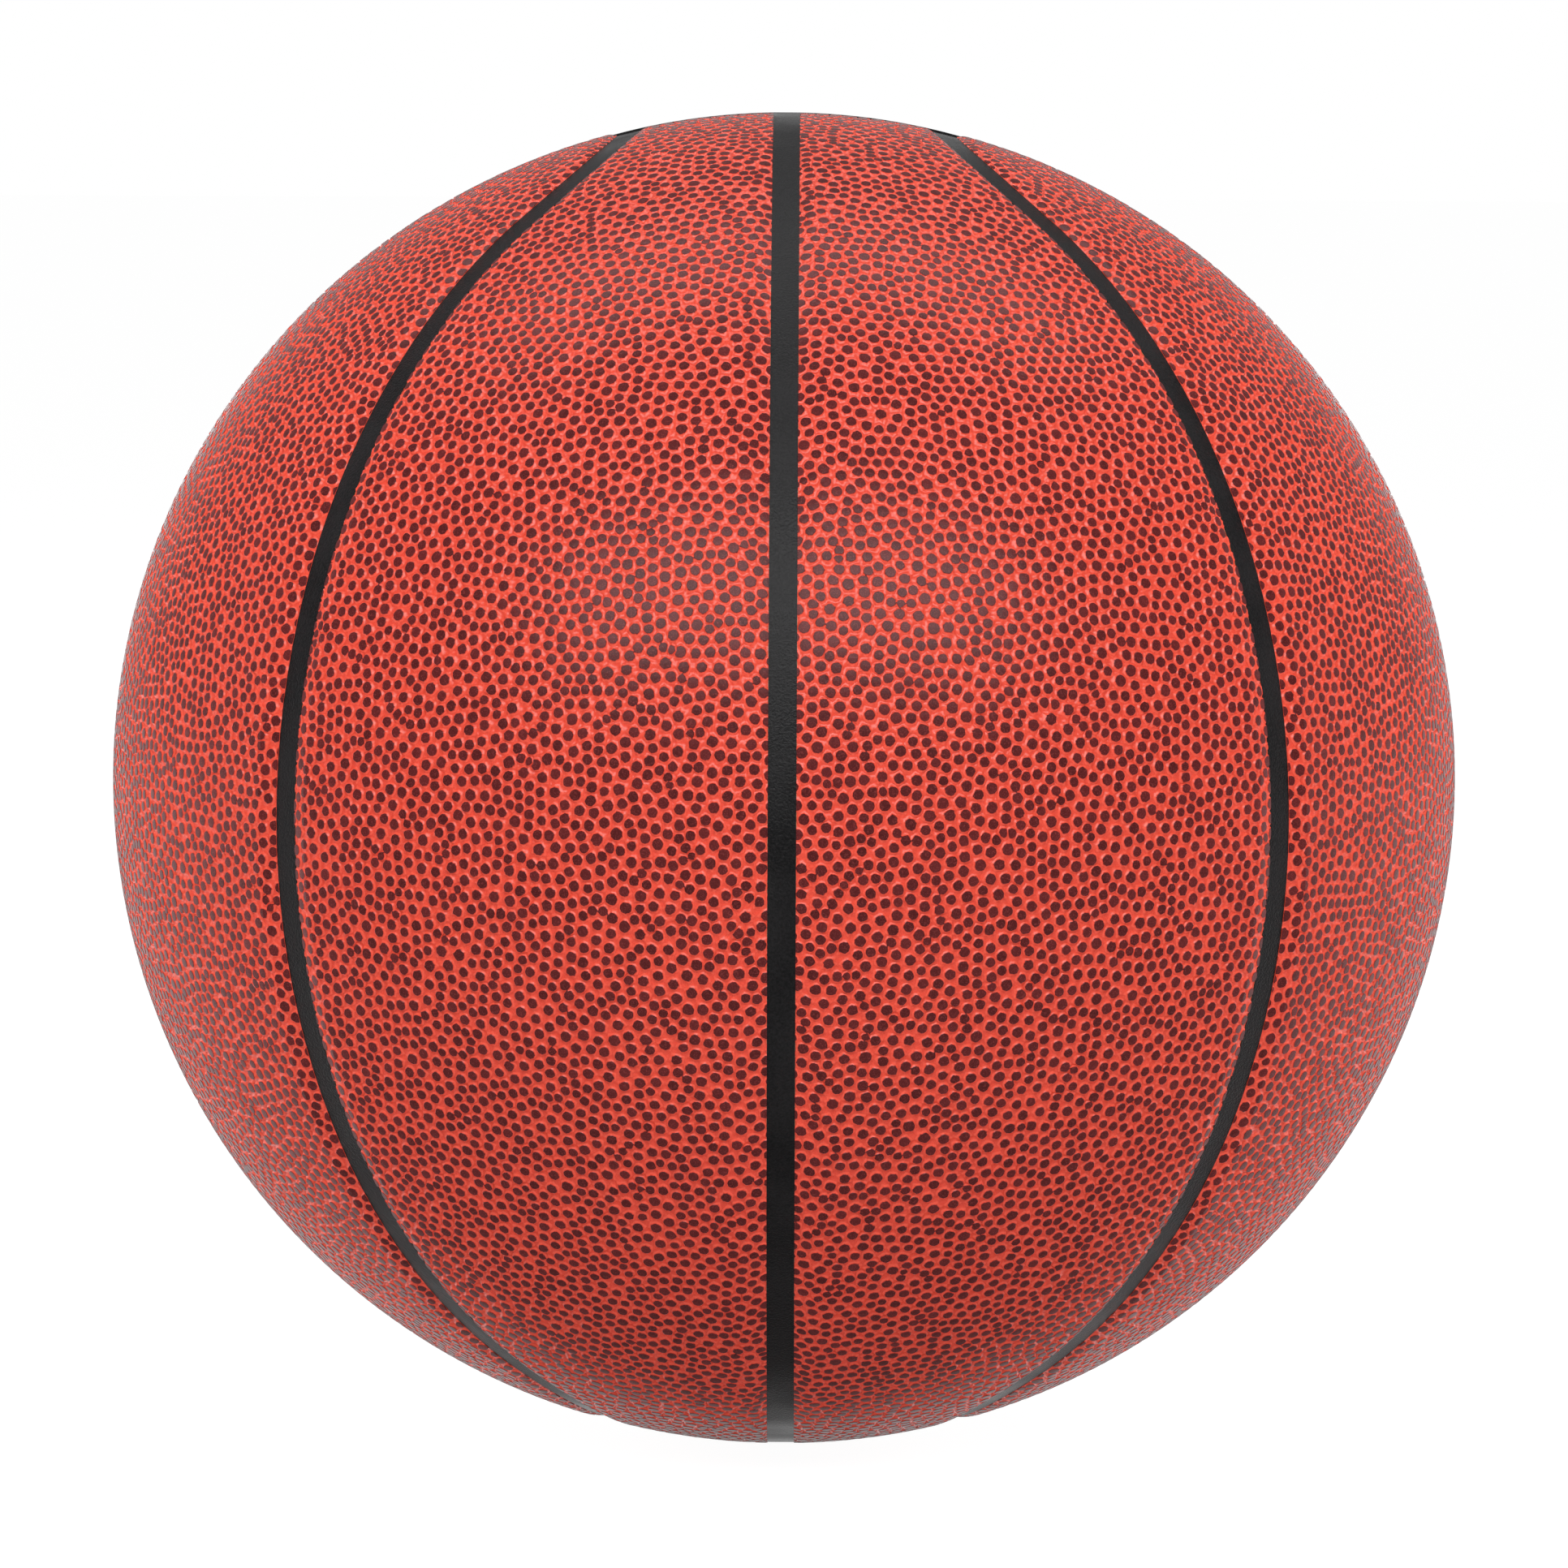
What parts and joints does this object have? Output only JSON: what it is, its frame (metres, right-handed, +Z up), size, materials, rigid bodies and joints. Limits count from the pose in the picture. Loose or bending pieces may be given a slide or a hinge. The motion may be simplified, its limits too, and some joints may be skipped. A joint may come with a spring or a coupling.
{
  "type": "basketball",
  "caption": "Laminated ball with pebbled cover panels, recessed black rubber seam strips, foam-backed carcass, wound bladder and a self-sealing inflation valve.",
  "frame": {"origin": "centre of the ball", "axes": "+Z up through the crossing of the two ring seams, -Y out through the middle of the front centre seam, +X out through the right cap panels"},
  "size_m": [0.2394, 0.2394, 0.2378],
  "materials": {
    "pebbled_cover": "pebbled orange-brown composite leather, darker raised pebble tops, satin",
    "strip_rubber": "matt black rubber with a fine grain",
    "valve_rubber": "matt black moulded rubber",
    "plug_rubber": "matt dark grey rubber",
    "foam": "pale closed-cell foam",
    "carcass_rubber": "dark grey rubber",
    "nylon_thread": "off-white nylon winding",
    "butyl_rubber": "smooth black butyl"
  },
  "bodies": {
    "root": {"bladder": "butyl_rubber", "winding_layer": "nylon_thread", "carcass": "carcass_rubber", "valve_housing": "valve_rubber", "valve_core": "plug_rubber", "rib_centre_ring": "strip_rubber", "rib_side_right": "strip_rubber", "rib_side_left": "strip_rubber", "rib_loop_front_right": "strip_rubber", "rib_loop_front_left": "strip_rubber", "rib_loop_back_right": "strip_rubber", "rib_loop_back_left": "strip_rubber", "foam_band_front_right": "foam", "foam_band_front_left": "foam", "foam_band_back_right": "foam", "foam_band_back_left": "foam", "foam_cap_front_right": "foam", "foam_cap_front_left": "foam", "foam_cap_back_right": "foam", "foam_cap_back_left": "foam", "panel_band_front_right": "pebbled_cover", "panel_band_front_left": "pebbled_cover", "panel_band_back_right": "pebbled_cover", "panel_band_back_left": "pebbled_cover", "panel_cap_front_right": "pebbled_cover", "panel_cap_front_left": "pebbled_cover", "panel_cap_back_right": "pebbled_cover", "panel_cap_back_left": "pebbled_cover"}
  },
  "joints": []
}
